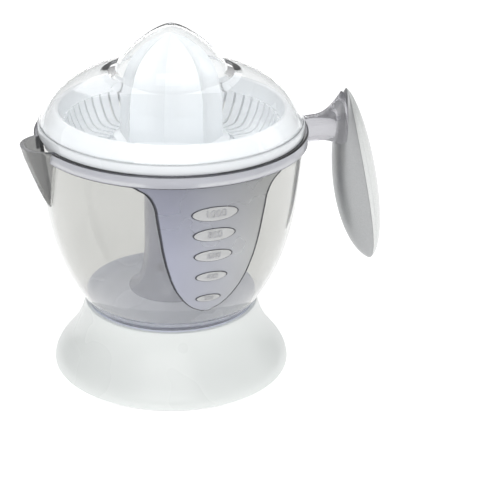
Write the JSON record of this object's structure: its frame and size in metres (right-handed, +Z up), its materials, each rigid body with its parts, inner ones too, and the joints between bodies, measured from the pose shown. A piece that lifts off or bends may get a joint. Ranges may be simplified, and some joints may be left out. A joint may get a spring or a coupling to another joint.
{
  "type": "citrus press juicer",
  "caption": "Electric citrus press: motor base, clear jug with spout, handle and hollow drive column, slotted strainer, fluted reamer and clear dust cover.",
  "frame": {"origin": "on the drive axis, at the flat underside of the foot ring that the base stands on", "axes": "+Z up along the drive axis, +X towards the handle, -X towards the spout, -Y towards the scale panel, +Y towards the cord inlet"},
  "size_m": [0.2368, 0.1628, 0.2166],
  "materials": {
    "base_white": "gloss white moulding",
    "plate_grey": "matt",
    "rubber": "matt",
    "steel": "satin",
    "iron": "laminated, satin",
    "aluminium": "cast, satin",
    "bronze": "sintered",
    "brass": "cut",
    "copper": "enamelled wire",
    "nylon": "matt nylon",
    "black_plastic": "matt",
    "red_plastic": "gloss",
    "clear_smoke": "clear, faint smoke tint",
    "grip_grey": "satin grey",
    "grip_silver": "silver lacquer",
    "strainer_white": "gloss white",
    "reamer_white": "gloss white",
    "cover_clear": "clear"
  },
  "bodies": {
    "base": {"base_housing": "base_white", "bottom_plate": "plate_grey", "foot_ring": "rubber", "plate_screws": "steel", "cord_gland": "plate_grey", "terminal_block": "nylon", "shaft_bush": "bronze", "shaft_seal": "rubber", "gear_plate": "aluminium", "gear_plate_screws": "steel", "idler_pin": "steel", "stator_core": "iron", "coil_bobbin": "nylon", "coil_winding": "copper", "motor_bracket": "steel", "motor_screws": "steel", "rotor_bushes": "bronze", "switch_body": "black_plastic", "switch_screws": "steel", "return_spring": "steel"},
    "rotor": {"rotor_core": "aluminium", "rotor_shaft": "steel", "motor_pinion": "brass"},
    "idler": {"idler_gear": "nylon"},
    "output": {"output_gear": "nylon"},
    "shaft": {"drive_shaft": "strainer_white", "shaft_clip": "steel", "press_disc": "nylon"},
    "plunger": {"switch_plunger": "red_plastic"},
    "jug_body": {"jug": "clear_smoke", "handle_grip": "grip_grey", "handle_cap": "grip_silver", "handle_screws": "steel"},
    "strainer_body": {"strainer": "strainer_white"},
    "ring": {"thrust_ring": "nylon"},
    "reamer_body": {"reamer": "reamer_white", "drive_socket": "plate_grey"},
    "cover": {"dust_cover": "cover_clear"}
  },
  "joints": [
    {"name": "output_gear_spin", "type": "hinge", "parent": "base", "child": "output", "pos_m": [0, 0, 0.03], "axis": [0, 0, 1], "continuous": true},
    {"name": "idler_spin", "type": "hinge", "parent": "base", "child": "idler", "pos_m": [-0.02405, 0.01743, 0.028], "axis": [0, 0, 1], "continuous": true},
    {"name": "rotor_spin", "type": "hinge", "parent": "base", "child": "rotor", "pos_m": [-0.00801, 0.03098, 0.013], "axis": [0, 0, 1], "continuous": true},
    {"name": "shaft_press", "type": "slide", "parent": "output", "child": "shaft", "axis": [0, 0, 1], "range_m": [-0.0025, 0], "stiffness_N_per_m": 900, "springref_m": 0.004, "deforming": ["return_spring"]},
    {"name": "switch_press", "type": "slide", "parent": "base", "child": "plunger", "axis": [0, 0, 1], "range_m": [-0.0025, 0]},
    {"name": "jug_lift", "type": "slide", "parent": "base", "child": "jug_body", "axis": [0, 0, 1], "range_m": [0, 0.16]},
    {"name": "strainer_lift", "type": "slide", "parent": "jug_body", "child": "strainer_body", "axis": [0, 0, 1], "range_m": [0, 0.12]},
    {"name": "reamer_press", "type": "slide", "parent": "strainer_body", "child": "ring", "axis": [0, 0, 1], "range_m": [-0.0025, 0]},
    {"name": "reamer_spin", "type": "hinge", "parent": "ring", "child": "reamer_body", "pos_m": [0, 0, 0.16], "axis": [0, 0, 1], "continuous": true},
    {"name": "cover_lift", "type": "slide", "parent": "strainer_body", "child": "cover", "axis": [0, 0, 1], "range_m": [0, 0.1]}
  ],
  "couplings": [
    {"joint": "idler_spin", "follows": "rotor_spin", "ratio": -0.27273},
    {"joint": "output_gear_spin", "follows": "rotor_spin", "ratio": 0.060606},
    {"joint": "reamer_spin", "follows": "rotor_spin", "ratio": 0.060606},
    {"joint": "reamer_press", "follows": "shaft_press", "ratio": 1},
    {"joint": "switch_press", "follows": "shaft_press", "ratio": 1}
  ]
}
